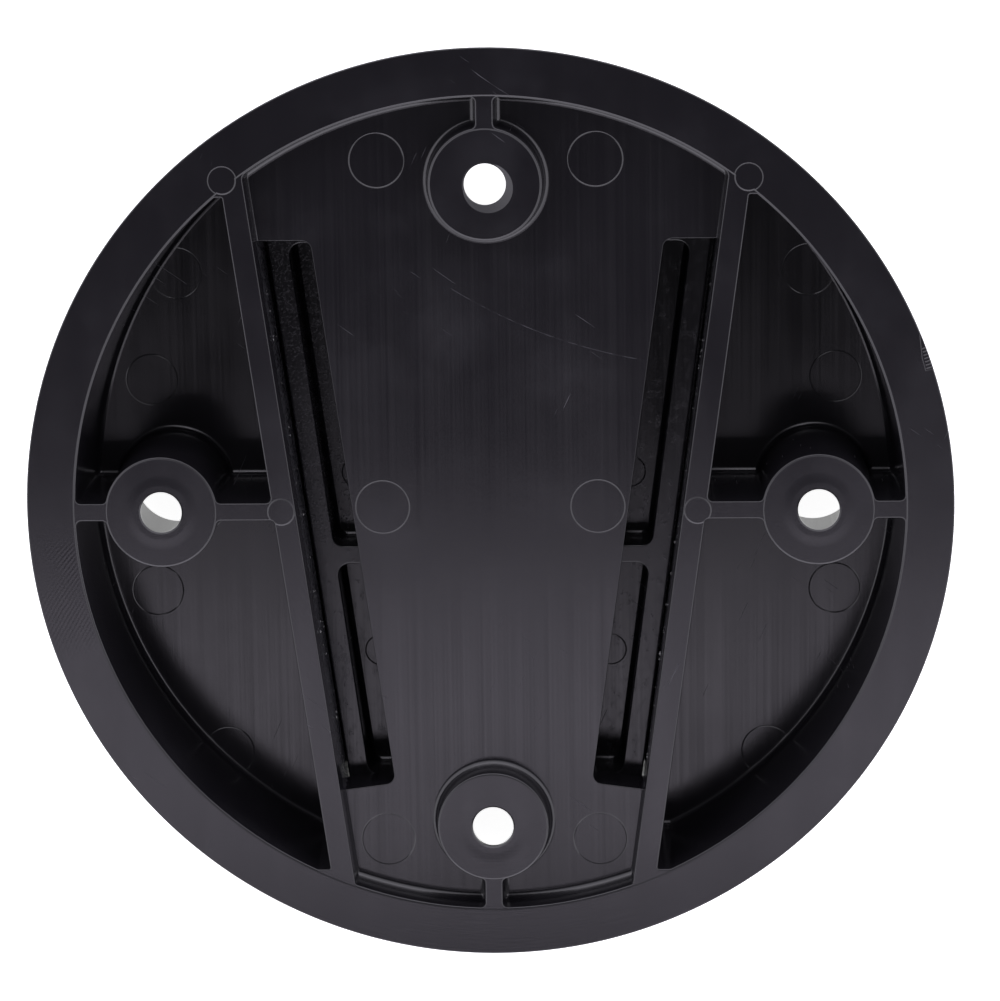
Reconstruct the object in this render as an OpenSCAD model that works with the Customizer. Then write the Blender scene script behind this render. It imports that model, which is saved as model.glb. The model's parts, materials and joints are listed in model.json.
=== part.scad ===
// Round mounting flange with a tapered slide-in wedge.
// +Z points out of the back face, +Y towards the socket's wide end. The origin is
// under the middle of the flange, on the plane that the wedge's front pad stands on.

/* [Base] */
// Diameter across the back of the rim
base_d = 152.4; // [150:0.1:156]
// Thickness of the base from its front face to the back of the rim
base_t = 26.5; // [26:0.1:29]
// How far the side wall draws in between the back of the rim and the front face
side_draw = 4.2; // [2:0.1:5]
// Size of the bevel round the front face
front_bevel = 2; // [1:0.1:3]
// Inner radius of the rim at the back
rim_inner_r = 68.1; // [67:0.1:69]
// Draft of the rim's inner wall over the depth of a side pocket
rim_draft = 0.7; // [0:0.1:1]
// Depth of the four side pockets
pocket_depth = 23; // [20:0.1:23.5]
// Depth of the middle web's back face
web_back = 5.2; // [4.5:0.1:6]
// Depth of the middle web's front face
web_front = 13; // [12:0.1:13.5]

/* [Socket] */
// Angle of each V wall from the centre line
taper_angle = 7.65; // [7:0.05:8]
// Half the width between the V walls, level with the centre
socket_half_w = 31.75; // [31:0.05:32.5]
// Thickness of each V wall, measured across the flange
v_wall_t = 3.85; // [3:0.05:4.5]
// Width of each slot, and of the lip in front of it
slot_w = 8.8; // [8:0.1:9.5]
// Height of the slots' upper ends above the centre
slot_top = 44.2; // [42:0.1:45]
// Distance of the slots' lower ends below the centre
slot_bottom = 49; // [47:0.1:50]
// Depth of the lips' back faces
lip_back = 24; // [23.8:0.1:24.5]
// Radius of the socket's closed lower end
socket_end_r = 66; // [64:0.1:67]

/* [Screw bosses] */
// Diameter of the bolt circle
bolt_circle_d = 108; // [106:0.1:109]
// Diameter of the screw holes
screw_d = 6.8; // [6:0.1:7.5]
// Diameter of the bosses
boss_d = 18.6; // [18:0.1:19]
// Thickness of the ribs that tie the bosses to the walls
rib_t = 2.95; // [2:0.05:4]
// Diameter of the screw-head counterbores
head_d = 14.6; // [14:0.1:15]
// Diameter of the countersunk seats at their wide ends
seat_d = 13.2; // [11:0.1:13.8]
// Length of the straight land between each seat and the back face
seat_land = 1; // [0.8:0.1:3]

/* [Wedge] */
// Clearance between the wedge and the socket
slide_gap = 0.3; // [0.2:0.05:0.5]
// Extra clearance gained from the narrow end of the wedge to its wide end
wide_end_gap = 0.5; // [0:0.05:0.8]
// Height of the wedge's wide end above the centre
wedge_top = 46; // [45:0.1:46.5]
// Distance of the wedge's narrow end below the centre
wedge_bottom = 52; // [50:0.1:53]
// How far the wedge's front pad stands proud of the base
pad_proud = 1.5; // [0.5:0.1:2.5]
// Width of the strips round the wedge's pockets
strip_w = 3.5; // [3:0.1:4]
// Depth of the wedge's pocket floors, from the back of the rim
wedge_floor = 21.6; // [20:0.1:22]
// Distance of the cross rib's middle below the centre
cross_rib_y = 10.4; // [8:0.1:14]
// Thickness of the cross rib
cross_rib_t = 3; // [2:0.1:4]
// Spacing of the fixture holes across the wedge
fix_dx = 24; // [20:0.5:26]
// Spacing of the fixture holes along the wedge
fix_dy = 60; // [50:0.5:62]
// Diameter of the fixture holes
fix_d = 5.2; // [4:0.1:6]
// Diameter of the fixture-hole bosses
fix_boss_d = 11; // [9:0.1:12]

/* [Hidden] */
$fn = 180;
over = 1;
taper = tan(taper_angle);
back_z = base_t + pad_proud;
front_z = pad_proud;
base_r = base_d / 2;
pocket_z = back_z - pocket_depth;
web_back_z = back_z - web_back;
web_front_z = back_z - web_front;
lip_back_z = back_z - lip_back;
flange_back_z = web_front_z - slide_gap;
flange_front_z = lip_back_z + slide_gap;
wedge_floor_z = back_z - wedge_floor;
bolt_r = bolt_circle_d / 2;
seat_back_z = back_z - seat_land;
seat_front_z = seat_back_z - (seat_d - screw_d) / 2;
wedge_length = wedge_top + wedge_bottom;
fix_mid_y = (wedge_top - wedge_bottom) / 2;

// Half width of the socket at height y, for a wall offset inwards by inset
function socket_half(y, inset = 0) = socket_half_w - inset + y * taper;

// Half width of the wedge's flange at height y, for an edge offset inwards by inset
function wedge_half(y, inset = 0) =
    socket_half(y, slide_gap + inset) - wide_end_gap * (y + wedge_bottom) / wedge_length;

module v_prism(y0, y1, z0, z1, inset) {
    outline = [
        [-socket_half(y0, inset), y0], [socket_half(y0, inset), y0],
        [socket_half(y1, inset), y1], [-socket_half(y1, inset), y1]
    ];
    translate([0, 0, z0]) linear_extrude(height = z1 - z0) polygon(outline);
}

module wedge_prism(y0, y1, z0, z1, inset) {
    outline = [
        [-wedge_half(y0, inset), y0], [wedge_half(y0, inset), y0],
        [wedge_half(y1, inset), y1], [-wedge_half(y1, inset), y1]
    ];
    translate([0, 0, z0]) linear_extrude(height = z1 - z0) polygon(outline);
}

module both_sides() {
    children();
    mirror([1, 0, 0]) children();
}

// Drum of the base, drawn in towards the front face
module drum() {
    r_front = base_r - side_draw;
    rotate_extrude() polygon([
        [0, front_z], [r_front - front_bevel, front_z], [r_front, front_z + front_bevel],
        [base_r, back_z], [0, back_z]
    ]);
}

// Area of one deep side pocket, above or below the rib on the right-hand side
module side_pocket(up) {
    depth = pocket_depth + over;
    y0 = up * rib_t / 2;
    y1 = up * base_r;
    intersection() {
        translate([0, 0, pocket_z])
            cylinder(h = depth, r1 = rim_inner_r - rim_draft, r2 = rim_inner_r);
        difference() {
            translate([0, 0, pocket_z]) linear_extrude(height = depth) polygon([
                [socket_half(y0) + v_wall_t, y0], [base_r, y0],
                [base_r, y1], [socket_half(y1) + v_wall_t, y1]
            ]);
            translate([bolt_r, 0, front_z]) cylinder(h = base_t + 2 * over, d = boss_d);
        }
    }
}

// Shallow recess between the V walls, round the upper and lower bosses
module back_recess() {
    depth = web_back + over;
    difference() {
        intersection() {
            translate([0, 0, web_back_z]) cylinder(h = depth, r = rim_inner_r);
            v_prism(-base_r, base_r, web_back_z, back_z + over, 0);
        }
        for (up = [-1, 1]) {
            translate([0, up * bolt_r, front_z]) cylinder(h = base_t + 2 * over, d = boss_d);
            translate([-rib_t / 2, up > 0 ? bolt_r : -base_r, front_z])
                cube([rib_t, base_r - bolt_r, base_t + 2 * over]);
        }
    }
}

// Outline shared by a slot and the lip in front of it
module slot_prism(z0, z1) {
    outer = 0.5;
    lower_step = slot_w * taper;
    translate([0, 0, z0]) linear_extrude(height = z1 - z0) polygon([
        [socket_half(-slot_bottom, slot_w), lower_step - slot_bottom],
        [socket_half(-slot_bottom, -outer), -slot_bottom],
        [socket_half(slot_top, -outer), slot_top],
        [socket_half(slot_top, slot_w), slot_top]
    ]);
}

// Tapered socket, closed at its narrow end and open through the rim at its wide end
module socket() {
    z0 = front_z - over;
    union() {
        intersection() {
            v_prism(-base_r, over, z0, web_front_z, 0);
            translate([0, 0, z0]) cylinder(h = web_front_z - z0, r = socket_end_r);
        }
        v_prism(0, base_r + over, z0, web_front_z, 0);
    }
}

// Screw hole with a countersunk seat and a counterbore that opens in the face at face_z
module screw_hole(face_z) {
    rotate_extrude() polygon([
        [0, face_z - over], [head_d / 2, face_z - over], [head_d / 2, seat_front_z],
        [seat_d / 2, seat_front_z], [screw_d / 2, seat_back_z],
        [screw_d / 2, back_z + over], [0, back_z + over]
    ]);
}

module screw_holes() {
    for (side = [-1, 1]) {
        translate([side * bolt_r, 0, 0]) screw_hole(front_z);
        translate([0, side * bolt_r, 0]) screw_hole(web_front_z);
    }
}

module base() {
    color([0.06, 0.06, 0.07]) union() {
        difference() {
            drum();
            both_sides() for (up = [-1, 1]) side_pocket(up);
            back_recess();
            socket();
            both_sides() slot_prism(web_front_z - over, web_back_z + over);
            screw_holes();
        }
        both_sides() slot_prism(front_z, lip_back_z);
    }
}

// Cored pocket in the back of the wedge between heights y0 and y1
module wedge_pocket(y0, y1) {
    wedge_prism(y0, y1, wedge_floor_z, flange_back_z + over, strip_w);
}

module at_fixture_holes() {
    for (x = [-0.5, 0.5], y = [-0.5, 0.5])
        translate([x * fix_dx, fix_mid_y + y * fix_dy, 0]) children();
}

module wedge() {
    throat_inset = slot_w + slide_gap;
    color([0.05, 0.05, 0.06]) difference() {
        union() {
            difference() {
                wedge_prism(-wedge_bottom, wedge_top, flange_front_z, flange_back_z, 0);
                wedge_pocket(strip_w - wedge_bottom, -cross_rib_y - cross_rib_t / 2);
                wedge_pocket(cross_rib_t / 2 - cross_rib_y, wedge_top - strip_w);
            }
            v_prism(-wedge_bottom, wedge_top, 0, wedge_floor_z, throat_inset);
            at_fixture_holes() cylinder(h = flange_back_z, d = fix_boss_d);
        }
        at_fixture_holes()
            translate([0, 0, -over]) cylinder(h = back_z, d = fix_d);
    }
}

base();
wedge();
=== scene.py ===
import json
import math
import random

import bmesh
import bpy
from mathutils import Matrix, Vector


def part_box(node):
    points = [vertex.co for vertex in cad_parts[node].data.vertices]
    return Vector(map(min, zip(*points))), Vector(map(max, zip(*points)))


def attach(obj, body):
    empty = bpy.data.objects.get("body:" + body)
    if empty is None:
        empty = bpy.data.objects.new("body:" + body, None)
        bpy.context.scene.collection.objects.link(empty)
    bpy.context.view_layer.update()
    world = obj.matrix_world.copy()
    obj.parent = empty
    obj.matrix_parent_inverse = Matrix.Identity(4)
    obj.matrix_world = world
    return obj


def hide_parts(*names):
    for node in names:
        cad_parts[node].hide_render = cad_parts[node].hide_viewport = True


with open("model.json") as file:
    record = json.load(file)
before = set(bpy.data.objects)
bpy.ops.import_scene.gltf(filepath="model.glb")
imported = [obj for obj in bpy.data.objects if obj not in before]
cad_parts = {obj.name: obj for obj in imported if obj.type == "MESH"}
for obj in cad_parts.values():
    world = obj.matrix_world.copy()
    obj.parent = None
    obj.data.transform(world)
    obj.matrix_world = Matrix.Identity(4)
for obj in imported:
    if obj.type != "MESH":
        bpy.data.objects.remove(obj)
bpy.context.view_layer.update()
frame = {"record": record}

# Lengths are in millimetres up to new_mesh(), which writes metres. Positions in materials,
# lights and the floor's size are in metres.
MM = 0.001

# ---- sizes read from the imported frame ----
base_low, base_high = [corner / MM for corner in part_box("base")]
wedge_low, wedge_high = [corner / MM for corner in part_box("wedge")]
mounts = {m["name"]: m for m in frame["record"]["mounts"]}
BACK_Z = base_high.z
FRONT_Z = base_low.z
BASE_R = base_high.x
BOLT_R = mounts["screw_circle"]["dims"]["pcd_mm"] / 2
SCREW_R = mounts["screw_circle"]["dims"]["hole_r_mm"]
FIX_R = mounts["fixture_holes"]["dims"]["hole_r_mm"]
FIX_DX = mounts["fixture_holes"]["dims"]["spacing_x_mm"] / 2
FIX_DY = mounts["fixture_holes"]["dims"]["spacing_y_mm"] / 2
FIX_MID_Y = mounts["fixture_holes"]["pos_m"][1] / MM
WEDGE_TOP_Y = wedge_high.y
WEDGE_LOW_Y = wedge_low.y
WEDGE_LENGTH = WEDGE_TOP_Y - WEDGE_LOW_Y
FLANGE_BACK_Z = wedge_high.z

# ---- depths below the back of the rim ----
POCKET_Z = BACK_Z - 23.0
WEB_BACK_Z = BACK_Z - 5.2
WEB_FRONT_Z = BACK_Z - 13.0
LIP_BACK_Z = BACK_Z - 24.0
WEDGE_FLOOR_Z = BACK_Z - 21.6

# ---- plan of the base ----
TAPER = math.tan(math.radians(7.65))
SOCKET_HALF = 31.75
V_WALL = 3.85
RIM_INNER_R = 68.1
SOCKET_END_R = 66.0
BOSS_R = 9.3
RIB_HALF = 1.475
SLOT_W = 8.8
SLOT_TOP = 44.2
SLOT_LOW = -49.0
UPPER_TIP_Y = 52.1
LOWER_TIP_Y = -61.4
SIDE_DRAW = 4.2
HEAD_R = 7.3
SEAT_R = 6.6
SEAT_BACK_Z = BACK_Z - 1.0
SEAT_FRONT_Z = SEAT_BACK_Z - (SEAT_R - SCREW_R)

# ---- rounds, fillets and drafts of the base ----
FRONT_ROUND = 2.4
BACK_ROUND = 0.35
RIB_CORNER = 0.8
SLOT_CORNER = 1.6
SLOT_WALL_CORNER = 0.15
SLOT_EDGE = 0.14
POCKET_FOOT = 1.15
POCKET_EDGE = 0.28
RECESS_FOOT = 1.35
RECESS_EDGE = 0.3
RECESS_EASE = 0.7
# How far a side pocket's rim wall and its tip lean in over the pocket's depth.
RIM_DRAFT = 0.7
TIP_DRAFT = 0.9
# Ribs and V walls sit this far below the rim and the bosses.
STEP = 0.11
STEP_BEVEL = 0.24

# ---- plan of the wedge ----
SLIDE_GAP = 0.3
WIDE_END_GAP = 0.5
STRIP_W = 3.5
CROSS_RIB_Y = -10.4
CROSS_RIB_HALF = 1.5
FIX_BOSS_R = 5.5

# ---- ejector pins, at the places of those on the right ----
WEB_PIN_R = 4.45
WEB_PINS = ((17.8, 57.3), (17.8, -0.4), (17.8, -57.6))
POCKET_PIN_R = 4.3
POCKET_PINS = ((57.6, 17.9, 0.04), (57.6, -18.7, 0.05), (53.0, 36.0, 0.03), (46.2, -47.3, 0.05))
WALL_PIN_R = 2.3
WALL_END_PIN = (42.5, 54.9)
WALL_MIDDLE_PIN = (34.2, 0.0)
WEDGE_PIN_R = 2.6
WEDGE_PINS = ((23.0, 2.0), (19.6, -29.0))

# ---- how shapes are made ----
OVER = 2.0
SMALL_CORNER = 0.12
CORNER_STEPS = 8
STRAIGHT_STEP = 12
ARC_STEP = math.radians(2.0)
MOST_TRIES = 30
# A cut or joint that changes the volume by less than this, in cubic mm, has failed.
LEAST_CHANGE = 0.002
# Edges that turn more than this are shaded sharp.
SHARP_ANGLE = math.radians(19)
# In metres: points closer than the first are one point, and shorter edges than the second go.
SAME_PLACE = 2e-7
SHORTEST_EDGE = 1e-7


# ---- outlines: straight and round sides, joined by rounded corners ----
class Line:
    """A straight side through point, with the area behind its outward normal."""

    def __init__(self, point, normal, draft=0.0):
        self.normal_at = Vector(normal).normalized()
        self.point = Vector(point)
        self.draft = draft

    def distance(self, p):
        return (p - self.point).dot(self.normal_at)

    def normal(self, p):
        return self.normal_at

    def steps(self, a, b):
        return max(1, int((b - a).length // STRAIGHT_STEP))

    def between(self, a, b, grow, steps):
        return [a.lerp(b, k / steps) for k in range(1, steps)]


class Arc:
    """A round side. inside says that the area lies inside the circle."""

    def __init__(self, centre, radius, inside, draft=0.0):
        self.centre = Vector(centre)
        self.radius = radius
        self.sign = 1.0 if inside else -1.0
        self.draft = draft

    def distance(self, p):
        return self.sign * ((p - self.centre).length - self.radius)

    def normal(self, p):
        return self.sign * (p - self.centre).normalized()

    def sweep(self, a, b):
        start = math.atan2(a.y - self.centre.y, a.x - self.centre.x)
        end = math.atan2(b.y - self.centre.y, b.x - self.centre.x)
        turned = (end - start) % math.tau if self.sign > 0 else -((start - end) % math.tau)
        return start, turned

    def steps(self, a, b):
        return max(2, int(abs(self.sweep(a, b)[1]) / ARC_STEP))

    def between(self, a, b, grow, steps):
        start, sweep = self.sweep(a, b)
        radius = self.radius + self.sign * grow
        angles = [start + sweep * k / steps for k in range(1, steps)]
        return [self.centre + radius * Vector((math.cos(t), math.sin(t))) for t in angles]


def touch_point(first, second, first_off, second_off, guess):
    """The point near guess at the given signed distances from two sides."""
    p = guess.copy()
    for _ in range(MOST_TRIES):
        n1, n2 = first.normal(p), second.normal(p)
        e1, e2 = first.distance(p) - first_off, second.distance(p) - second_off
        det = n1.x * n2.y - n1.y * n2.x
        if abs(det) < 1e-9:
            break
        p -= Vector(((e1 * n2.y - e2 * n1.y) / det, (n1.x * e2 - n2.x * e1) / det))
    return p


def turn_between(a, b):
    """The signed angle from one direction to another."""
    return math.atan2(a.x * b.y - a.y * b.x, a.dot(b))


def rounded_corner(a, b, guess, radius, grow, deep):
    """Points of the arc that joins side a to side b near guess."""
    sign = 1.0 if turn_between(a.normal(guess), b.normal(guess)) > 0 else -1.0
    r = max(SMALL_CORNER, radius + sign * grow)
    offs = [grow - side.draft * deep - sign * r for side in (a, b)]
    centre = touch_point(a, b, offs[0], offs[1], guess)
    start = math.atan2(a.normal(centre).y, a.normal(centre).x)
    swept = turn_between(a.normal(centre), b.normal(centre))
    angles = [start + swept * k / CORNER_STEPS for k in range(CORNER_STEPS + 1)]
    return [centre + sign * r * Vector((math.cos(t), math.sin(t))) for t in angles]


def contour(sides, corners, grow=0.0, deep=0.0):
    """Points of an outline. corners holds (guess, radius), each where a side meets the next.
    grow moves every side outwards, and deep from 0 to 1 applies the sides' own drafts."""
    count = len(sides)
    arcs = [
        rounded_corner(sides[k], sides[(k + 1) % count], Vector(guess), radius, grow, deep)
        for k, (guess, radius) in enumerate(corners)
    ]
    points = []
    for k, side in enumerate(sides):
        steps = side.steps(Vector(corners[k - 1][0]), Vector(corners[k][0]))
        points += side.between(arcs[k - 1][-1], arcs[k][0], grow - side.draft * deep, steps)
        points += arcs[k]
    return points


def in_order(sides, corners, anticlockwise):
    """The same outline, run anticlockwise."""
    if anticlockwise:
        return sides, corners
    return list(reversed(sides)), list(reversed(corners))[1:] + [corners[-1]]


def mirrored(corners):
    """The same corners on the other side of the centre line, in the opposite order."""
    return [((-x, y), radius) for (x, y), radius in reversed(corners)]


def quarter(radius, steps=5, most=82.0):
    """(along, out) steps of a quarter round, from the wall to the face it turns into. It ends
    at most degrees, by default short of lying flush with that face."""
    turns = [math.radians(most * k / steps) for k in range(steps + 1)]
    return [(radius * math.sin(t), radius * (1 - math.cos(t))) for t in turns]


def full_quarter(radius, steps=6):
    return quarter(radius, steps, 90)


def flare(radius):
    """How far a quarter round has moved out at its last step."""
    return quarter(radius)[-1][1]


# ---- meshes ----
def new_mesh(name, points, faces):
    mesh = bpy.data.meshes.new(name)
    mesh.from_pydata([Vector(p) * MM for p in points], [], faces)
    bm = bmesh.new()
    bm.from_mesh(mesh)
    bmesh.ops.recalc_face_normals(bm, faces=bm.faces)
    bm.to_mesh(mesh)
    bm.free()
    obj = bpy.data.objects.new(name, mesh)
    bpy.context.scene.collection.objects.link(obj)
    return obj


def stack(name, rings):
    """A closed solid through rings of (z, outline), lowest first."""
    count = len(rings[0][1])
    points = [(p.x, p.y, z) for z, ring in rings for p in ring]
    faces = [tuple(range(count)), tuple(range((len(rings) - 1) * count, len(points)))]
    for k in range(len(rings) - 1):
        low, high = k * count, (k + 1) * count
        faces += [
            (low + j, low + (j + 1) % count, high + (j + 1) % count, high + j)
            for j in range(count)
        ]
    return new_mesh(name, points, faces)


def lathe(name, profile, centre=(0, 0), steps=96):
    """A closed solid turned about a line along Z. profile holds (radius, z), and a radius of
    0 at both ends closes it on the axis."""
    points, rings = [], []
    for radius, z in profile:
        if radius == 0:
            rings.append([len(points)])
            points.append((centre[0], centre[1], z))
            continue
        rings.append(list(range(len(points), len(points) + steps)))
        for k in range(steps):
            t = math.tau * k / steps
            points.append((centre[0] + radius * math.cos(t), centre[1] + radius * math.sin(t), z))
    faces = []
    closed = profile[0][0] != 0
    pairs = zip(rings, rings[1:] + rings[:1]) if closed else zip(rings, rings[1:])
    for low, high in pairs:
        for k in range(steps):
            nxt = (k + 1) % steps
            corners = [low[k % len(low)], low[nxt % len(low)]]
            corners += [high[nxt % len(high)], high[k % len(high)]]
            face = list(dict.fromkeys(corners))
            if len(face) > 2:
                faces.append(face)
    return new_mesh(name, points, faces)


def volume(mesh):
    bm = bmesh.new()
    bm.from_mesh(mesh)
    size = bm.calc_volume() / MM**3
    bm.free()
    return size


def combine(target, tools, operation):
    """Cuts or adds each tool in turn, and takes the tools away."""
    for tool in tools:
        step = target.modifiers.new("step", "BOOLEAN")
        step.operation = operation
        step.solver = "MANIFOLD"
        step.object = tool
        bpy.context.view_layer.update()
        graph = bpy.context.evaluated_depsgraph_get()
        result = bpy.data.meshes.new_from_object(target.evaluated_get(graph))
        target.modifiers.clear()
        change = abs(volume(result) - volume(target.data))
        if not result.polygons or change < LEAST_CHANGE:
            raise RuntimeError(f"{operation} with {tool.name} changed nothing")
        target.data = result
        bpy.data.objects.remove(tool)
    return target


def finish_shading(obj):
    bm = bmesh.new()
    bm.from_mesh(obj.data)
    bmesh.ops.remove_doubles(bm, verts=bm.verts, dist=SAME_PLACE)
    bmesh.ops.dissolve_degenerate(bm, edges=bm.edges, dist=SHORTEST_EDGE)
    bm.to_mesh(obj.data)
    bm.free()
    obj.data.shade_smooth()
    obj.data.set_sharp_from_angle(angle=SHARP_ANGLE)
    weigh = obj.modifiers.new("flat_faces", "WEIGHTED_NORMAL")
    weigh.keep_sharp = True
    weigh.weight = 100
    return obj


# ---- plan of the base's walls and openings ----
def socket_half(y, inset=0.0):
    return SOCKET_HALF - inset + y * TAPER


def v_line(side, outset, outwards):
    """One face of a V wall, outset from the socket. outwards points away from the centre."""
    slope = 1.0 if outwards else -1.0
    return Line((side * (SOCKET_HALF + outset), 0), (side * slope, -TAPER * slope))


def wall_meets_circle(radius, up):
    """Where the socket's right-hand wall meets a circle about the centre."""
    a = 1 + TAPER**2
    b = SOCKET_HALF * TAPER
    c = SOCKET_HALF**2 - radius**2
    y = (-b + up * math.sqrt(b * b - a * c)) / a
    return socket_half(y), y


def side_outline(side, up):
    """A deep side pocket. side is 1 on the right, and up is 1 above the rib."""
    tip_y = UPPER_TIP_Y if up > 0 else LOWER_TIP_Y
    rib_y = up * RIB_HALF
    wall = v_line(side, V_WALL, False)
    rim = Arc((0, 0), RIM_INNER_R, True, draft=RIM_DRAFT)
    boss = Arc((side * BOLT_R, 0), BOSS_R, False)
    rib = Line((0, rib_y), (0, -up))
    tip = Line((0, tip_y), (0, up), draft=TIP_DRAFT)
    boss_reach = math.sqrt(BOSS_R**2 - RIB_HALF**2)
    sides = [rib, boss, rib, rim, tip, wall]
    corners = [
        ((side * (BOLT_R - boss_reach), rib_y), RIB_CORNER),
        ((side * (BOLT_R + boss_reach), rib_y), RIB_CORNER),
        ((side * math.sqrt(RIM_INNER_R**2 - RIB_HALF**2), rib_y), RIB_CORNER),
        ((side * math.sqrt(RIM_INNER_R**2 - tip_y**2), tip_y), 0.5),
        ((side * (socket_half(tip_y) + V_WALL), tip_y), 0.3),
        ((side * (socket_half(rib_y) + V_WALL), rib_y), RIB_CORNER),
    ]
    return in_order(sides, corners, side * up > 0)


def recess_outline():
    """The shallow recess round the upper and lower bosses."""
    rim = Arc((0, 0), RIM_INNER_R, True)
    right, left = v_line(1, 0, True), v_line(-1, 0, True)
    right.draft = left.draft = -1.0
    rib_right, rib_left = Line((RIB_HALF, 0), (-1, 0)), Line((-RIB_HALF, 0), (1, 0))
    upper = Arc((0, BOLT_R), BOSS_R, False)
    lower = Arc((0, -BOLT_R), BOSS_R, False)
    rib_y = BOLT_R + math.sqrt(BOSS_R**2 - RIB_HALF**2)
    rim_y = math.sqrt(RIM_INNER_R**2 - RIB_HALF**2)
    sides = [right, rim, rib_right, upper, rib_left, rim, left, rim, rib_left, lower, rib_right, rim]
    upper_right = [
        (wall_meets_circle(RIM_INNER_R, 1), 1.3),
        ((RIB_HALF, rim_y), RIB_CORNER),
        ((RIB_HALF, rib_y), RIB_CORNER),
    ]
    lower_right = [
        ((RIB_HALF, -rib_y), RIB_CORNER),
        ((RIB_HALF, -rim_y), RIB_CORNER),
        (wall_meets_circle(RIM_INNER_R, -1), 0.6),
    ]
    return sides, upper_right + mirrored(upper_right) + mirrored(lower_right) + lower_right


def slot_outline(side, outset=0.02):
    """A slot beside one V wall. Its lower end is square to the wall."""
    outer, inner = v_line(side, outset, True), v_line(side, -SLOT_W, False)
    outer.draft = flare(SLOT_EDGE)
    top = Line((0, SLOT_TOP), (0, 1))
    low = Line((side * socket_half(SLOT_LOW), SLOT_LOW), (-side * TAPER, -1))
    inner_low_y = SLOT_LOW + SLOT_W * TAPER
    sides = [outer, top, inner, low]
    corners = [
        ((side * socket_half(SLOT_TOP), SLOT_TOP), SLOT_WALL_CORNER),
        ((side * socket_half(SLOT_TOP, SLOT_W), SLOT_TOP), SLOT_CORNER),
        ((side * socket_half(inner_low_y, SLOT_W), inner_low_y), SLOT_CORNER),
        ((side * socket_half(SLOT_LOW), SLOT_LOW), SLOT_WALL_CORNER),
    ]
    return in_order(sides, corners, side > 0)


# ---- the base's outer shape and cutters ----
def drum():
    front_r = BASE_R - SIDE_DRAW
    slope = SIDE_DRAW / (BACK_Z - FRONT_Z)
    profile = [(0, FRONT_Z)]
    for along, out in reversed(full_quarter(FRONT_ROUND, 8)):
        r = front_r + slope * (FRONT_ROUND - along) - out
        profile.append((r, FRONT_Z + FRONT_ROUND - along))
    for along, out in full_quarter(BACK_ROUND):
        z = BACK_Z - BACK_ROUND + along
        profile.append((BASE_R - slope * (BACK_Z - z) - out, z))
    profile.append((0, BACK_Z))
    return lathe("base_moulding", profile, steps=480)


def pocket_cutter(name, outline, floor_z, top_z, foot, edge, ease=0.0):
    """A cutter whose foot is filleted and whose mouth flares out round the edge.
    ease tightens the fillet along sides with a negative draft."""
    depth = top_z - floor_z
    rings = []
    for along, out in reversed(quarter(foot)):
        deep = out * ease if ease else 1.0
        rings.append((floor_z + foot - along, contour(*outline, grow=-out, deep=deep)))
    for along, out in quarter(edge):
        z = top_z - edge + along
        rings.append((z, contour(*outline, grow=out, deep=(top_z - z) / depth)))
    rings.append((top_z + OVER, contour(*outline, grow=flare(edge))))
    return stack(name, rings)


def slot_cutter(side):
    """A straight cutter whose mouth flares out everywhere but along the V wall."""
    outline = slot_outline(side)
    most = flare(SLOT_EDGE)
    rings = [(WEB_FRONT_Z - 1, contour(*outline))]
    for along, out in quarter(SLOT_EDGE):
        rings.append((WEB_BACK_Z - SLOT_EDGE + along, contour(*outline, grow=out, deep=out / most)))
    rings.append((WEB_BACK_Z + OVER, contour(*outline, grow=most, deep=1.0)))
    return stack("slot", rings)


def step_cutter():
    """Takes the ribs and V walls down to just below the rim, the bosses and the pins' faces."""
    low, high = BACK_Z - STEP, BACK_Z + OVER
    lap, lean = 0.2, 0.1
    disc_r = RIM_INNER_R + lap
    disc = lathe("step", [
        (0, low), (disc_r, low), (disc_r + STEP_BEVEL, BACK_Z),
        (disc_r + STEP_BEVEL + lean, high), (0, high),
    ], steps=360)
    bosses = ((BOLT_R, 0), (-BOLT_R, 0), (0, BOLT_R), (0, -BOLT_R))
    kept = [(x, y, BOSS_R - lap) for x, y in bosses]
    kept += [(side * x, y, WALL_PIN_R) for x, y in (WALL_END_PIN, WALL_MIDDLE_PIN) for side in (-1, 1)]
    pillars = [
        lathe("pillar", [
            (0, low - 1), (radius, low - 1), (radius, low), (radius - STEP_BEVEL, BACK_Z),
            (radius - STEP_BEVEL - lean, high + 1), (0, high + 1),
        ], centre=(x, y))
        for x, y, radius in kept
    ]
    return combine(disc, pillars, "DIFFERENCE")


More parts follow.
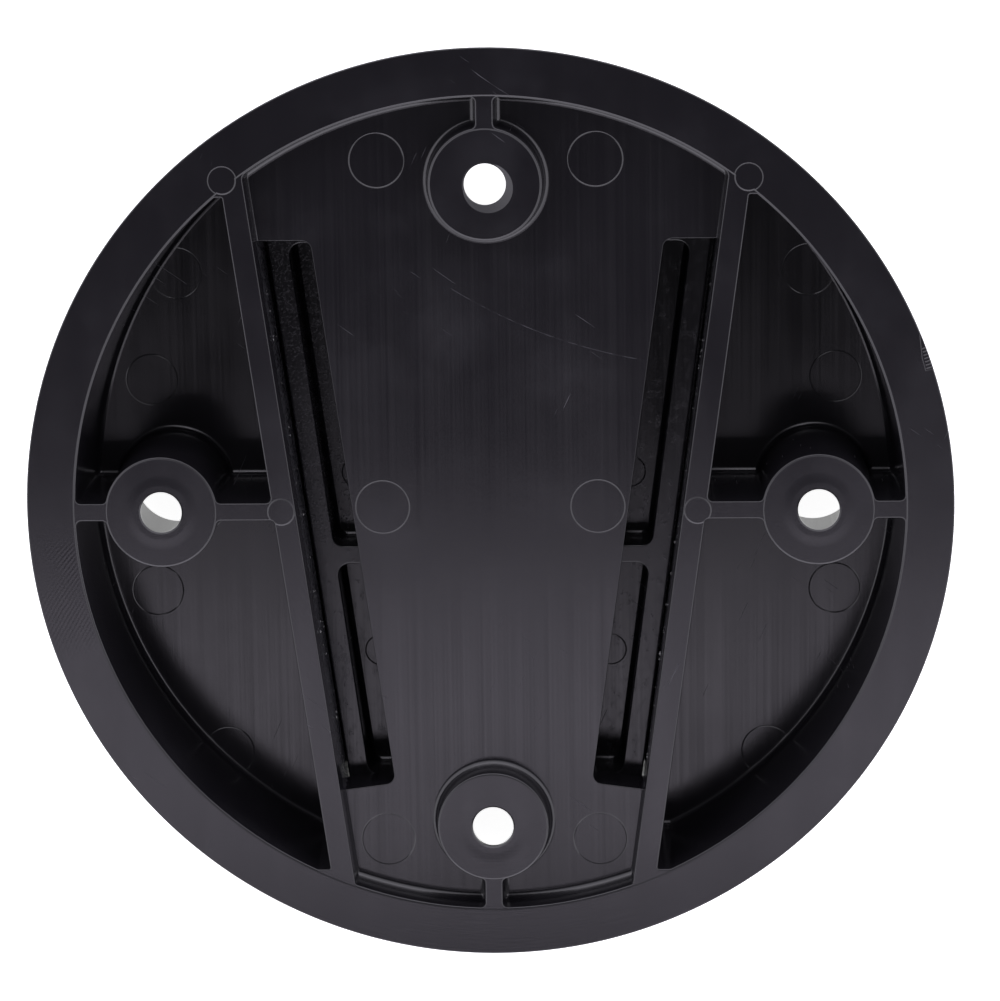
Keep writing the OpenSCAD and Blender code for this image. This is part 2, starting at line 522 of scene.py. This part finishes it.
def socket_cutters():
    """The tapered space behind the web, and the open front between the lips."""
    edge = 0.4
    mouth_y = BASE_R + 6
    mouth = Line((0, mouth_y), (0, 1))
    end = Arc((0, 0), SOCKET_END_R, True)
    right, left = v_line(1, 0, True), v_line(-1, 0, True)
    foot = wall_meets_circle(SOCKET_END_R, -1)
    mouth_corner = [((socket_half(mouth_y), mouth_y), 0.3)]
    foot_corners = [((-foot[0], foot[1]), 1.5), (foot, 1.5)]
    wide = ([right, mouth, left, end], mouth_corner + mirrored(mouth_corner) + foot_corners)
    behind_web = stack("behind_web", [(LIP_BACK_Z, contour(*wide)), (WEB_FRONT_Z, contour(*wide))])

    lip_top = Line((0, SLOT_TOP), (0, -1))
    lip_low = Line((0, SLOT_LOW), (0, 1))
    lip_right, lip_left = v_line(1, -SLOT_W, True), v_line(-1, -SLOT_W, True)
    sides = [right, lip_low, lip_right, lip_top, right, mouth]
    sides += [left, lip_top, lip_left, lip_low, left, end]
    right_corners = [
        ((socket_half(SLOT_LOW), SLOT_LOW), 0.8),
        ((socket_half(SLOT_LOW, SLOT_W), SLOT_LOW), 1.2),
        ((socket_half(SLOT_TOP, SLOT_W), SLOT_TOP), 1.2),
        ((socket_half(SLOT_TOP), SLOT_TOP), 0.8),
    ] + mouth_corner
    lipped = (sides, right_corners + mirrored(right_corners) + foot_corners)
    rings = [(FRONT_Z - OVER, contour(*lipped, grow=flare(edge)))]
    for along, out in reversed(quarter(edge)):
        rings.append((FRONT_Z + edge - along, contour(*lipped, grow=out)))
    rings.append((LIP_BACK_Z + 0.01, contour(*lipped)))
    return [behind_web, stack("front_opening", rings)]


def screw_hole(x, y, face_z):
    """A through hole. Its countersunk seat and counterbore open in the face at face_z."""
    edge, bevel = 0.25, 0.4
    return lathe("screw_hole", [
        (0, face_z - OVER), (HEAD_R + bevel, face_z - OVER), (HEAD_R + bevel, face_z),
        (HEAD_R, face_z + bevel), (HEAD_R, SEAT_FRONT_Z), (SEAT_R, SEAT_FRONT_Z),
        (SCREW_R, SEAT_BACK_Z), (SCREW_R, BACK_Z - edge), (SCREW_R + edge, BACK_Z),
        (SCREW_R + edge, BACK_Z + OVER), (0, BACK_Z + OVER),
    ], centre=(x, y))


def sink_ring(x, y):
    """The boss's back face falls away slightly round its screw hole."""
    inner, lowest, outer, depth, above, steps = 3.8, 6.4, 9.7, 0.03, 0.006, 6
    profile = []
    for k in range(steps + 1):
        ease = (1 - math.cos(math.pi * k / steps)) / 2
        profile.append((inner + (lowest - inner) * k / steps, BACK_Z + above - (depth + above) * ease))
    profile += [(outer, BACK_Z - depth), (outer, BACK_Z + above)]
    return lathe("sink_ring", profile, centre=(x, y))


def scraped_edge():
    """A scrape round the upper screw hole, off-centre so that it is deepest at the lower right."""
    centre = (0.5, BOLT_R - 0.6)
    radius, slope, depth, above = 4.05, math.tan(math.radians(24)), 0.75, 0.5
    return lathe("scraped_edge", [
        (0, BACK_Z - depth), (radius - depth / slope, BACK_Z - depth), (radius, BACK_Z),
        (radius + above / slope, BACK_Z + above), (0, BACK_Z + above),
    ], centre=centre)


def polar(angle, radius):
    """A point at an angle in degrees and a distance from the centre."""
    t = math.radians(angle)
    return Vector((radius * math.cos(t), radius * math.sin(t)))


def bruise():
    """A shallow knock on the rim's outer edge at the right, crossed by short grooves."""
    floor_z, top_z, outside = BACK_Z - 0.06, BACK_Z + 0.06, 77.6
    low = [(17.8, outside), (21.0, outside), (25.0, 77.4), (22.2, 75.9), (19.6, 75.0), (18.0, 74.9)]
    high = [(17.6, outside), (21.0, outside), (25.3, 77.4), (22.3, 75.66), (19.6, 74.76), (17.8, 74.66)]
    rings = [(floor_z, [polar(*p) for p in low]), (top_z, [polar(*p) for p in high])]
    cutters = [stack("bruise", rings)]
    for k in range(7):
        angle, inner = 18.15 + 0.42 * k, 75.05 + 0.06 * k
        rings = []
        for z, half in ((floor_z - 0.05, 0.005), (floor_z + 0.01, 0.1)):
            ends = ((-half, outside), (half, outside), (half, inner), (-half, inner))
            rings.append((z, [polar(angle + turn, r) for turn, r in ends]))
        cutters.append(stack("groove", rings))
    return cutters


def mark_ring(x, y, radius, z, depth=0.042):
    """The fine groove that an ejector pin leaves round its face."""
    above, half = 0.015, 0.12
    return lathe("mark", [
        (radius - half, z + above), (radius, z - depth), (radius + half, z + above),
    ], centre=(x, y), steps=72)


def ejector_marks():
    marks = []
    for side in (-1, 1):
        marks += [mark_ring(side * x, y, WEB_PIN_R, WEB_BACK_Z) for x, y in WEB_PINS]
        marks += [mark_ring(side * x, y, POCKET_PIN_R, POCKET_Z, depth) for x, y, depth in POCKET_PINS]
        x, y = WALL_END_PIN
        marks.append(mark_ring(side * x, y, WALL_PIN_R, BACK_Z))
    return marks


def make_base():
    wall_top_z = BACK_Z - STEP
    cutters = [
        pocket_cutter("side_pocket", side_outline(side, up), POCKET_Z, wall_top_z, POCKET_FOOT, POCKET_EDGE)
        for side in (-1, 1) for up in (-1, 1)
    ]
    cutters.append(pocket_cutter(
        "recess", recess_outline(), WEB_BACK_Z, wall_top_z, RECESS_FOOT, RECESS_EDGE, RECESS_EASE
    ))
    cutters.append(step_cutter())
    cutters += socket_cutters()
    for side in (-1, 1):
        cutters.append(slot_cutter(side))
        cutters.append(screw_hole(side * BOLT_R, 0, FRONT_Z))
        cutters.append(screw_hole(0, side * BOLT_R, WEB_FRONT_Z))
        cutters.append(sink_ring(side * BOLT_R, 0))
    cutters.append(sink_ring(0, -BOLT_R))
    cutters.append(scraped_edge())
    return finish_shading(combine(drum(), cutters + ejector_marks() + bruise(), "DIFFERENCE"))


# ---- the wedge ----
def wedge_half(y, inset=0.0):
    """Half the flange's width at height y. It tapers a little less than the socket."""
    return socket_half(y, SLIDE_GAP + inset) - WIDE_END_GAP * (y - WEDGE_LOW_Y) / WEDGE_LENGTH


def wedge_side(side, inset=0.0):
    """One edge of the wedge's flange."""
    slope = TAPER - WIDE_END_GAP / WEDGE_LENGTH
    return Line((side * wedge_half(0, inset), 0), (side, -slope))


def trapezium(edge, half, y0, y1, radius):
    """A tapered outline between heights y0 and y1. edge(side) gives its slanted sides, and
    half(y) its half width."""
    sides = [edge(1), Line((0, y1), (0, 1)), edge(-1), Line((0, y0), (0, -1))]
    corners = [
        ((half(y1), y1), radius), ((-half(y1), y1), radius),
        ((-half(y0), y0), radius), ((half(y0), y0), radius),
    ]
    return sides, corners


def solid_block(name, outline, z0, z1, edge):
    """A block between heights z0 and z1 with rounded edges."""
    rings = []
    for along, out in reversed(full_quarter(edge)):
        rings.append((z0 + edge - along, contour(*outline, grow=-out)))
    for along, out in full_quarter(edge):
        rings.append((z1 - edge + along, contour(*outline, grow=-out)))
    return stack(name, rings)


def wedge_pocket(y0, y1):
    outline = trapezium(
        lambda side: wedge_side(side, STRIP_W), lambda y: wedge_half(y, STRIP_W), y0, y1, 1.9
    )
    return pocket_cutter("wedge_pocket", outline, WEDGE_FLOOR_Z, FLANGE_BACK_Z, foot=1.0, edge=0.3)


def fixture_boss(x, y):
    foot_z, bevel = 2.0, 0.3
    return lathe("fixture_boss", [
        (0, foot_z), (FIX_BOSS_R, foot_z), (FIX_BOSS_R, FLANGE_BACK_Z - bevel),
        (FIX_BOSS_R - bevel, FLANGE_BACK_Z), (0, FLANGE_BACK_Z),
    ], centre=(x, y))


def fixture_hole(x, y):
    bevel = 0.5
    return lathe("fixture_hole", [
        (0, -OVER), (FIX_R + bevel, -OVER), (FIX_R + bevel, -0.01), (FIX_R, bevel),
        (FIX_R, FLANGE_BACK_Z + OVER), (0, FLANGE_BACK_Z + OVER),
    ], centre=(x, y))


def make_wedge():
    flange = trapezium(wedge_side, wedge_half, WEDGE_LOW_Y, WEDGE_TOP_Y, 2.0)
    body = solid_block("wedge_moulding", flange, LIP_BACK_Z + SLIDE_GAP, FLANGE_BACK_Z, 0.35)
    throat = SLOT_W + SLIDE_GAP
    pad = trapezium(
        lambda side: v_line(side, -throat, True), lambda y: socket_half(y, throat),
        WEDGE_LOW_Y, WEDGE_TOP_Y, 1.5,
    )
    pad_edge = 0.6
    core = solid_block("pad", pad, 0.0, WEDGE_FLOOR_Z - pad_edge, pad_edge)
    pockets = [
        wedge_pocket(WEDGE_LOW_Y + STRIP_W, CROSS_RIB_Y - CROSS_RIB_HALF),
        wedge_pocket(CROSS_RIB_Y + CROSS_RIB_HALF, WEDGE_TOP_Y - STRIP_W),
    ]
    bosses, holes = [], []
    for sx in (-1, 1):
        for sy in (-1, 1):
            x, y = sx * FIX_DX, FIX_MID_Y + sy * FIX_DY
            bosses.append(fixture_boss(x, y))
            holes.append(fixture_hole(x, y))
        holes += [mark_ring(sx * x, y, WEDGE_PIN_R, WEDGE_FLOOR_Z) for x, y in WEDGE_PINS]
    combine(body, pockets, "DIFFERENCE")
    combine(body, [core] + bosses, "UNION")
    combine(body, holes, "DIFFERENCE")
    return finish_shading(body)


# ---- materials ----
class Nodes:
    """Short names for building a node tree."""

    def __init__(self, name):
        self.material = bpy.data.materials.new(name)
        self.material.use_nodes = True
        self.tree = self.material.node_tree
        self.shader = self.tree.nodes["Principled BSDF"]

    def add(self, kind, **values):
        node = self.tree.nodes.new(kind)
        for key, value in values.items():
            setattr(node, key, value)
        return node

    def link(self, a, b):
        self.tree.links.new(a, b)

    def put(self, socket, value):
        if hasattr(value, "is_output"):
            self.link(value, socket)
        else:
            socket.default_value = value

    def object_place(self):
        return self.add("ShaderNodeTexCoord").outputs["Object"]

    def maths(self, operation, a, b=0.0, clamp=False):
        node = self.add("ShaderNodeMath", operation=operation, use_clamp=clamp)
        self.put(node.inputs[0], a)
        self.put(node.inputs[1], b)
        return node.outputs[0]

    def plus(self, value, *others):
        for other in others:
            value = self.maths("ADD", value, other)
        return value

    def minus(self, a, b):
        return self.maths("SUBTRACT", a, b)

    def times(self, value, *others):
        for other in others:
            value = self.maths("MULTIPLY", value, other)
        return value

    def length(self, x, y):
        return self.maths("SQRT", self.plus(self.times(x, x), self.times(y, y)))

    def about_zero(self, noise, amount):
        """A noise shifted to swing about zero, at the given strength."""
        return self.times(self.minus(noise, 0.5), amount)

    def noise(self, vector, scale, detail=3.0, rough=0.5):
        node = self.add("ShaderNodeTexNoise")
        self.link(vector, node.inputs["Vector"])
        node.inputs["Scale"].default_value = scale
        node.inputs["Detail"].default_value = detail
        node.inputs["Roughness"].default_value = rough
        return node.outputs["Fac"]

    def long_noise(self, vector, scales, detail=3.0, rough=0.5):
        """Noise with its own scale along each axis."""
        node = self.add("ShaderNodeMapping")
        self.link(vector, node.inputs["Vector"])
        node.inputs["Scale"].default_value = scales
        return self.noise(node.outputs["Vector"], 1.0, detail, rough)

    def ramp(self, value, low, high, to_low=0.0, to_high=1.0):
        node = self.add("ShaderNodeMapRange", interpolation_type="SMOOTHSTEP")
        self.put(node.inputs["Value"], value)
        node.inputs["From Min"].default_value = low
        node.inputs["From Max"].default_value = high
        node.inputs["To Min"].default_value = to_low
        node.inputs["To Max"].default_value = to_high
        return node.outputs["Result"]


class Plastic(Nodes):
    """Black moulded plastic: fine grain, smears, flow streaks and a slight bloom."""

    def __init__(self, name):
        super().__init__(name)
        self.place = self.object_place()
        split = self.add("ShaderNodeSeparateXYZ")
        self.link(self.place, split.inputs[0])
        self.x, self.y, self.z = split.outputs

    def brushed_lines(self):
        """Fine tool lines that run up and down."""
        return self.long_noise(self.place, (5200.0, 70.0, 300.0), 3.0, 0.6)

    def fine_scratches(self, angle, patches):
        """Sparse short straight scratches along one direction."""
        turned = self.add("ShaderNodeMapping")
        self.link(self.place, turned.inputs["Vector"])
        turned.inputs["Rotation"].default_value = (0.0, 0.0, angle)
        lines = self.long_noise(turned.outputs["Vector"], (110.0, 4200.0, 120.0), 1.0)
        where = self.ramp(self.noise(self.place, patches, 2.0), 0.58, 0.70)
        return self.times(self.ramp(lines, 0.735, 0.775), where)

    def crossed_scratches(self):
        return self.maths("MAXIMUM", self.fine_scratches(0.62, 48.0), self.fine_scratches(-1.15, 63.0))

    def finish(self, colour, ior, gloss, tool, scratch, sand, scuff=0.0, streaked=1.0):
        """Joins the layers. sand is a rough crumbly surface, scuff a worn one, and streaked
        says where the flow streaks show."""
        facing = self.add("ShaderNodeSeparateXYZ")
        self.link(self.add("ShaderNodeNewGeometry").outputs["Normal"], facing.inputs[0])
        flat = self.ramp(facing.outputs[2], 0.9, 0.99)
        grain = self.noise(self.place, 2600.0, 4.0, 0.6)
        bloom = self.noise(self.place, 55.0, 4.0, 0.55)
        smear = self.long_noise(self.place, (260.0, 26.0, 60.0))
        broad_streaks = self.long_noise(self.place, (900.0, 14.0, 60.0), 3.0, 0.6)
        fine_streaks = self.long_noise(self.place, (3200.0, 9.0, 60.0), 2.0, 0.6)
        streaks = self.plus(self.about_zero(broad_streaks, 0.05), self.about_zero(fine_streaks, 0.13))

        rough = self.plus(gloss, self.about_zero(bloom, 0.12), self.about_zero(smear, 0.07))
        rough = self.plus(rough, self.times(streaks, streaked))
        rough = self.plus(rough, self.times(sand, 0.3), self.times(scratch, 0.2))
        rough = self.maths("ADD", rough, self.times(scuff, 0.15), clamp=True)

        pale = self.plus(self.times(scratch, 0.25), self.times(scuff, 0.12))
        pale = self.plus(pale, self.times(self.ramp(bloom, 0.45, 0.8), 0.03), self.times(sand, 0.16))
        tint = self.add("ShaderNodeMix", data_type="RGBA")
        self.link(pale, tint.inputs[0])
        tint.inputs[6].default_value = (*colour, 1.0)
        tint.inputs[7].default_value = (0.16, 0.16, 0.18, 1.0)

        height = self.plus(self.times(grain, 0.35), self.times(tool, flat))
        height = self.minus(height, self.times(scratch, 0.8))
        height = self.plus(height, self.times(scuff, 1.5), self.times(sand, 2.0))
        bump = self.add("ShaderNodeBump")
        bump.inputs["Strength"].default_value = 0.35
        bump.inputs["Distance"].default_value = 0.00003
        self.link(height, bump.inputs["Height"])

        self.link(tint.outputs[2], self.shader.inputs["Base Color"])
        self.link(rough, self.shader.inputs["Roughness"])
        self.link(bump.outputs["Normal"], self.shader.inputs["Normal"])
        self.shader.inputs["IOR"].default_value = ior
        return self.material


def circle_through(a, b, c):
    """Centre and radius of the circle through three points."""
    d = 2 * (a[0] * (b[1] - c[1]) + b[0] * (c[1] - a[1]) + c[0] * (a[1] - b[1]))
    sq = [p[0] ** 2 + p[1] ** 2 for p in (a, b, c)]
    x = (sq[0] * (b[1] - c[1]) + sq[1] * (c[1] - a[1]) + sq[2] * (a[1] - b[1])) / d
    y = (sq[0] * (c[0] - b[0]) + sq[1] * (a[0] - c[0]) + sq[2] * (b[0] - a[0])) / d
    return x, y, math.hypot(a[0] - x, a[1] - y)


def long_scratch(n):
    """A fine curved scratch across the web, broken up along its length."""
    start, middle, end = (-6.8, 36.7), (5.0, 30.3), (26.0, 24.0)
    cx, cy, radius = circle_through(start, middle, end)
    reach = n.length(n.minus(n.x, cx * MM), n.minus(n.y, cy * MM))
    off = n.maths("ABSOLUTE", n.minus(reach, radius * MM))
    line = n.ramp(off, 0.03 * MM, 0.11 * MM, 1.0, 0.0)
    after_start = n.ramp(n.x, start[0] * MM, (start[0] + 2) * MM)
    before_end = n.ramp(n.x, (end[0] - 3) * MM, end[0] * MM, 1.0, 0.0)
    above_web_middle = n.ramp(n.y, 20 * MM, 21 * MM)
    broken = n.ramp(n.noise(n.place, 450.0, 2.0), 0.35, 0.65, 0.05, 0.45)
    return n.times(line, after_start, before_end, above_web_middle, broken)


def torn_wall(n):
    """The crumbly inner faces of the V walls beside the slots, deeper than the web's back."""
    wall = n.plus(n.times(n.y, TAPER), SOCKET_HALF * MM)
    off = n.maths("ABSOLUTE", n.minus(n.maths("ABSOLUTE", n.x), wall))
    on_wall = n.ramp(off, 0.1 * MM, 0.3 * MM, 1.0, 0.0)
    below_web = n.ramp(n.z, (WEB_BACK_Z - 0.2) * MM, (WEB_BACK_Z + 0.2) * MM, 1.0, 0.0)
    crumbly = n.ramp(n.noise(n.place, 1500.0, 4.0, 0.7), 0.42, 0.66, 0.15, 1.0)
    return n.times(on_wall, below_web, crumbly)


def lathe_rings(n):
    """Rings turned into the rim, with a patch of slanting chatter marks below its left rib."""
    radius = n.length(n.x, n.y)
    around = n.maths("ARCTAN2", n.y, n.x)
    polar_place = n.add("ShaderNodeCombineXYZ")
    n.link(radius, polar_place.inputs[0])
    n.link(around, polar_place.inputs[1])
    rings = n.long_noise(polar_place.outputs[0], (5200.0, 9.0, 1.0), 2.0)
    slant = n.minus(n.times(around, 520.0), n.times(radius, 7200.0))
    slant = n.plus(slant, n.times(n.noise(n.place, 300.0, 2.0), 5.0))
    patch = n.times(
        n.ramp(around, -3.10, -3.03), n.ramp(around, -2.88, -2.76, 1.0, 0.0),
        n.ramp(n.noise(n.place, 90.0, 2.0), 0.35, 0.6), n.ramp(radius, 68.4 * MM, 69.2 * MM),
    )
    return n.plus(rings, n.times(n.maths("SINE", slant), patch, 0.42))


def base_plastic():
    n = Plastic("base_black")
    on_rim = n.ramp(n.z, (BACK_Z - 0.4) * MM, (BACK_Z - 0.1) * MM)
    off_rim = n.minus(1.0, on_rim)
    tool_depth = 0.5
    tool = n.plus(
        n.times(n.brushed_lines(), off_rim, tool_depth), n.times(lathe_rings(n), on_rim, tool_depth)
    )
    scratch = n.maths("MAXIMUM", n.crossed_scratches(), long_scratch(n))
    return n.finish(
        (0.0058, 0.0054, 0.0068), ior=1.5, gloss=0.19, tool=tool, scratch=scratch,
        sand=torn_wall(n), streaked=off_rim,
    )


def wedge_plastic():
    """Scuffed all over, and sandy on the left above the cross rib."""
    n = Plastic("wedge_black")
    wear, tool_depth = 0.4, 0.4
    scuff = n.ramp(n.long_noise(n.place, (900.0, 500.0, 900.0), 4.0, 0.7), 0.5, 0.72)
    sandy_side = n.times(n.ramp(n.x, -22 * MM, -19 * MM, 1.0, 0.0), n.ramp(n.y, -14 * MM, -4 * MM))
    sand = n.ramp(n.noise(n.place, 2300.0, 3.0, 0.7), 0.52, 0.68)
    return n.finish(
        (0.0050, 0.0048, 0.0058), ior=1.45, gloss=0.18, tool=n.times(n.brushed_lines(), tool_depth),
        scratch=n.crossed_scratches(), sand=n.times(sand, sandy_side, wear), scuff=n.times(scuff, wear),
    )


def flash_plastic():
    n = Nodes("flash")
    place = n.object_place()
    n.link(n.ramp(n.noise(place, 400.0), 0.35, 0.65, 0.03, 0.16), n.shader.inputs["Base Color"])
    n.link(n.ramp(n.noise(place, 900.0), 0.3, 0.7, 0.4, 0.7), n.shader.inputs["Roughness"])
    return n.material


def dress(obj, material):
    obj.data.materials.clear()
    obj.data.materials.append(material)


# ---- loose crumbs of flash along the V walls ----
CRUMB_COUNT = 100
# The directions of an octahedron's corners, and the corners of its faces.
OCTAHEDRON = ((1, 0, 0), (-1, 0, 0), (0, 1, 0), (0, -1, 0), (0, 0, 1), (0, 0, -1))
OCTAHEDRON_FACES = (
    (0, 2, 4), (2, 1, 4), (1, 3, 4), (3, 0, 4), (2, 0, 5), (1, 2, 5), (3, 1, 5), (0, 3, 5),
)


def make_crumbs():
    """Uneven little octahedra that touch the V walls beside the slots."""
    rng = random.Random(7)
    inwards = 0.7
    points, faces = [], []
    for _ in range(CRUMB_COUNT):
        side = rng.choice((-1, 1))
        y = rng.triangular(SLOT_LOW + 1, SLOT_TOP - 1, rng.choice((SLOT_LOW + 4, SLOT_TOP - 8)))
        size = rng.triangular(0.07, 0.34, 0.1)
        x = side * (socket_half(y) - size * inwards)
        z = rng.uniform(WEB_FRONT_Z + 0.6, WEB_BACK_Z - 0.5)
        start = len(points)
        for dx, dy, dz in OCTAHEDRON:
            reach = size * rng.uniform(0.5, 1.2)
            points.append((x + dx * min(reach, size * inwards), y + dy * reach * 1.3, z + dz * reach))
        faces += [(start + a, start + b, start + c) for a, b, c in OCTAHEDRON_FACES]
    crumbs = new_mesh("flash_crumbs", points, faces)
    crumbs.data.shade_smooth()
    return crumbs


# ---- stage, in metres ----
LIGHT_TINT = (0.92, 0.86, 1.0)
WORLD_TINT = (0.93, 0.91, 1.0)


def make_floor():
    """A white floor just under the part, bright enough to read as a plain background."""
    half, low = 3.0 / MM, -0.0001 / MM
    points = [(-half, -half, low), (half, -half, low), (half, half, low), (-half, half, low)]
    floor = new_mesh("floor", points, [(0, 1, 2, 3)])
    n = Nodes("floor_white")
    n.shader.inputs["Base Color"].default_value = (0.9, 0.9, 0.9, 1)
    n.shader.inputs["Roughness"].default_value = 0.9
    n.shader.inputs["Emission Color"].default_value = (1, 1, 1, 1)
    n.shader.inputs["Emission Strength"].default_value = 0.95
    dress(floor, n.material)


def area_light(name, place, aim, width, depth, power):
    data = bpy.data.lights.new(name, "AREA")
    data.color = LIGHT_TINT
    data.shape = "RECTANGLE"
    data.size, data.size_y, data.energy = width, depth, power
    light = bpy.data.objects.new(name, data)
    light.location = place
    light.rotation_euler = (Vector(aim) - Vector(place)).to_track_quat("-Z", "Y").to_euler()
    bpy.context.scene.collection.objects.link(light)


def make_lights():
    """A long strip overhead that the flat faces mirror, and a lower softbox beyond each end."""
    area_light("overhead_strip", (0.0, -0.32, 1.0), (0.0, -0.32, 0.0), width=1.1, depth=0.15, power=1.05)
    area_light("low_softbox", (0.0, -1.05, 0.62), (0, 0, 0), width=1.6, depth=0.4, power=2.0)
    area_light("upper_softbox", (0.0, 1.15, 0.55), (0, 0, 0), width=1.4, depth=0.3, power=1.5)


def make_world():
    """A studio that is bright near the horizon, where rounded edges and fillets mirror it, and
    dark overhead."""
    world = bpy.data.worlds.new("studio")
    bpy.context.scene.world = world
    world.use_nodes = True
    tree = world.node_tree
    split = tree.nodes.new("ShaderNodeSeparateXYZ")
    tree.links.new(tree.nodes.new("ShaderNodeTexCoord").outputs["Generated"], split.inputs[0])
    height = tree.nodes.new("ShaderNodeMapRange")
    height.interpolation_type = "SMOOTHSTEP"
    for socket, value in (("From Min", 0.69), ("From Max", 0.92), ("To Min", 2.1), ("To Max", 0.05)):
        height.inputs[socket].default_value = value
    background = tree.nodes["Background"]
    tree.links.new(split.outputs[2], height.inputs["Value"])
    tree.links.new(height.outputs["Result"], background.inputs["Strength"])
    background.inputs["Color"].default_value = (*WORLD_TINT, 1)
    bpy.context.scene.view_settings.view_transform = "Standard"


def make_camera():
    """Looks down on the back face, from a little towards the socket's wide end."""
    tilt, turn, roll = 0.2194, -0.0366, 0.0045
    place = Vector((27.15, 152.30, 674.85 + BACK_Z)) * MM
    data = bpy.data.cameras.new("camera")
    data.sensor_width = 36.0
    data.lens = 151.84
    data.clip_start, data.clip_end = 0.01, 20.0
    camera = bpy.data.objects.new("camera", data)
    turned = Matrix.Rotation(-tilt, 3, "X") @ Matrix.Rotation(-turn, 3, "Y")
    turned = turned @ Matrix.Rotation(-roll, 3, "Z")
    camera.rotation_euler = turned.to_euler()
    camera.location = place
    bpy.context.scene.collection.objects.link(camera)
    bpy.context.scene.camera = camera


base = make_base()
dress(base, base_plastic())
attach(base, "base")
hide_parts("base")

wedge = make_wedge()
dress(wedge, wedge_plastic())
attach(wedge, "wedge")
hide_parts("wedge")

crumbs = make_crumbs()
dress(crumbs, flash_plastic())
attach(crumbs, "base")

make_floor()
make_lights()
make_world()
make_camera()
